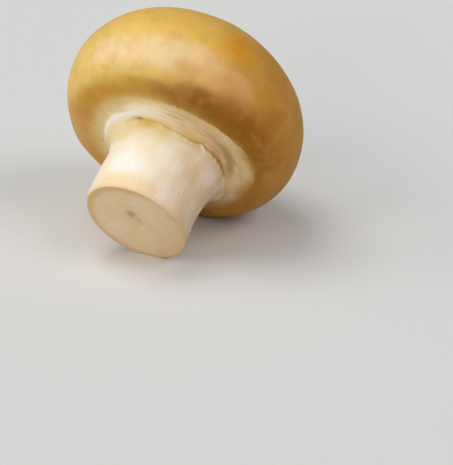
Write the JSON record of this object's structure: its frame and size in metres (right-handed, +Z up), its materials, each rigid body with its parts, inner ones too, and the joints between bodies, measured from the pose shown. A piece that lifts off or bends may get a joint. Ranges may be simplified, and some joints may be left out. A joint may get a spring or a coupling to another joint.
{
  "type": "cremini mushroom",
  "caption": "Closed brown-capped button mushroom with a short trimmed stem, lying on the side of its cap and the edge of its cut.",
  "frame": {"origin": "on the supporting surface, under the middle of the bounding box", "axes": "+Z up from the surface, -Y the way the cut stem points, +X across the cap"},
  "size_m": [0.05, 0.0478, 0.0466],
  "materials": {
    "mushroom_flesh": "satin"
  },
  "bodies": {
    "root": {"mushroom": "mushroom_flesh"}
  },
  "joints": []
}
